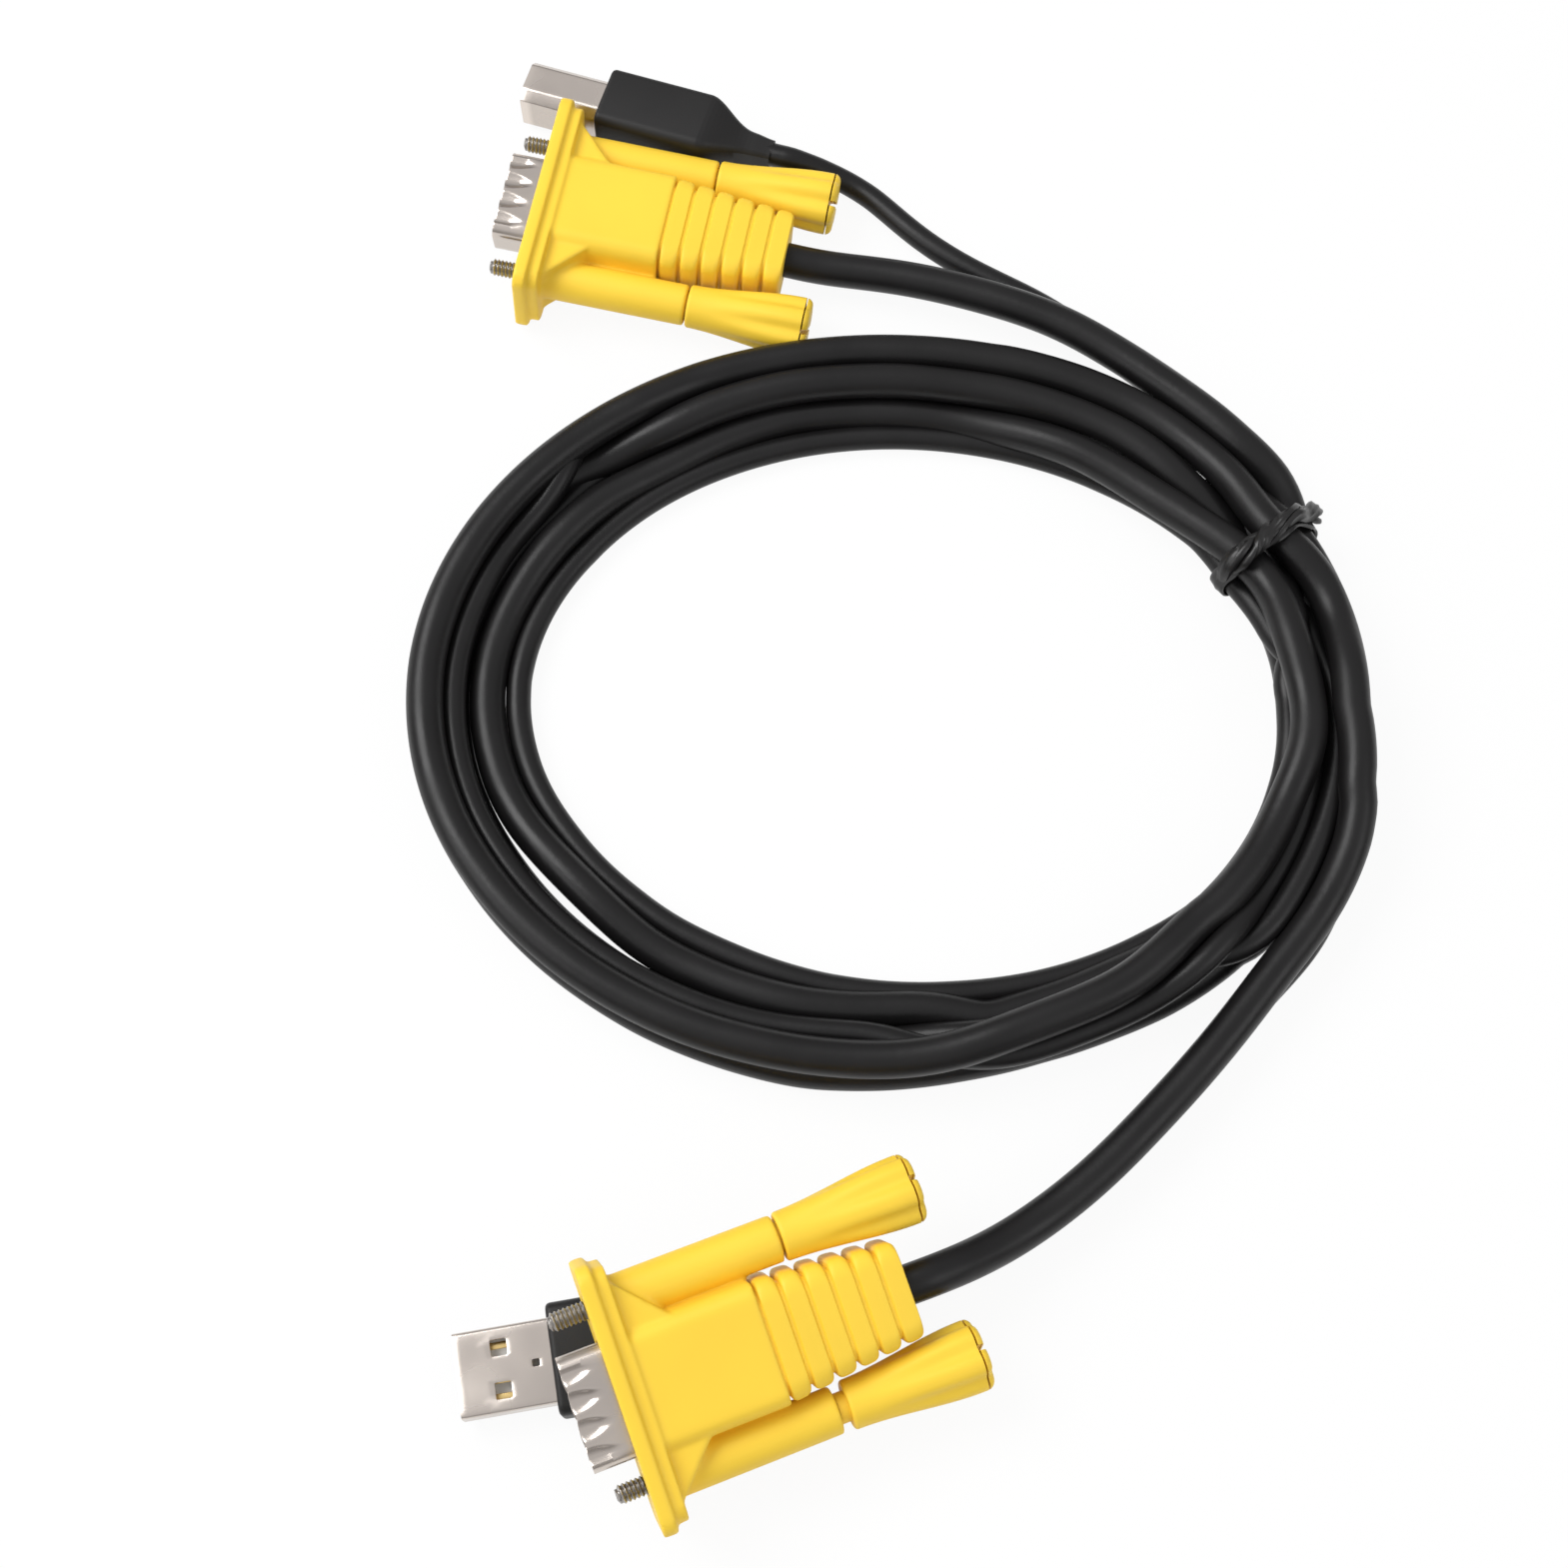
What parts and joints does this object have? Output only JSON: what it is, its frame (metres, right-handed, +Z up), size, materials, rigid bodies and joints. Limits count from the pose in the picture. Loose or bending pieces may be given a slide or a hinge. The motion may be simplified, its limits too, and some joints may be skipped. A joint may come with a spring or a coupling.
{
  "type": "kvm cable",
  "caption": "Combined video and USB cable with yellow screw-lock video plugs, a USB-A and a USB-B plug, wound into an oval coil and tied.",
  "frame": {"origin": "on the table, below the middle of the box round the plugs", "axes": "+Z up; +Y from the USB-A end towards the USB-B end; +X towards the tied side of the coil"},
  "size_m": [0.1524, 0.2452, 0.0279],
  "materials": {
    "yellow_pvc": "satin moulded PVC",
    "nickel_shell": "nickel plate, slightly satin",
    "screw_steel": "rolled thread",
    "gold_contact": "gold plate",
    "black_moulding": "satin",
    "tongue_plastic": "satin",
    "black_lead": "soft satin PVC jacket"
  },
  "bodies": {
    "cable": {"vga_a_hood": "yellow_pvc", "vga_a_d_shell": "nickel_shell", "vga_a_pin_block": "black_moulding", "vga_b_hood": "yellow_pvc", "vga_b_d_shell": "nickel_shell", "vga_b_pin_block": "black_moulding", "usb_a_shell": "nickel_shell", "usb_a_grip": "black_moulding", "usb_a_tongue": "tongue_plastic", "usb_a_contact_1": "gold_contact", "usb_a_contact_2": "gold_contact", "usb_a_contact_3": "gold_contact", "usb_a_contact_4": "gold_contact", "usb_b_shell": "nickel_shell", "usb_b_grip": "black_moulding", "usb_b_insert": "black_moulding", "usb_b_contact_1": "gold_contact", "usb_b_contact_2": "gold_contact", "usb_b_contact_3": "gold_contact", "usb_b_contact_4": "gold_contact", "lead_video_a": "black_lead", "lead_video_b": "black_lead", "lead_usb_a": "black_lead", "lead_usb_b": "black_lead", "coil": "black_lead", "wire_tie": "black_moulding"},
    "thumbscrew_a_far": {"vga_a_far_screw": "screw_steel", "vga_a_far_knob": "yellow_pvc"},
    "thumbscrew_a_near": {"vga_a_near_screw": "screw_steel", "vga_a_near_knob": "yellow_pvc"},
    "thumbscrew_b_far": {"vga_b_far_screw": "screw_steel", "vga_b_far_knob": "yellow_pvc"},
    "thumbscrew_b_near": {"vga_b_near_screw": "screw_steel", "vga_b_near_knob": "yellow_pvc"}
  },
  "joints": [
    {"name": "turn_a_far", "type": "hinge", "parent": "cable", "child": "thumbscrew_a_far", "pos_m": [-0.01773, -0.09262, 0.01934], "axis": [-0.9312, -0.3593, 0.0611], "continuous": true},
    {"name": "turn_a_near", "type": "hinge", "parent": "cable", "child": "thumbscrew_a_near", "pos_m": [-0.00947, -0.11518, 0.01246], "axis": [-0.9312, -0.3593, 0.0611], "continuous": true},
    {"name": "turn_b_far", "type": "hinge", "parent": "cable", "child": "thumbscrew_b_far", "pos_m": [-0.02969, 0.10466, 0.00795], "axis": [-0.9798, 0.1922, 0.0558], "continuous": true},
    {"name": "turn_b_near", "type": "hinge", "parent": "cable", "child": "thumbscrew_b_near", "pos_m": [-0.03451, 0.08014, 0.00795], "axis": [-0.9798, 0.1922, 0.0558], "continuous": true}
  ]
}
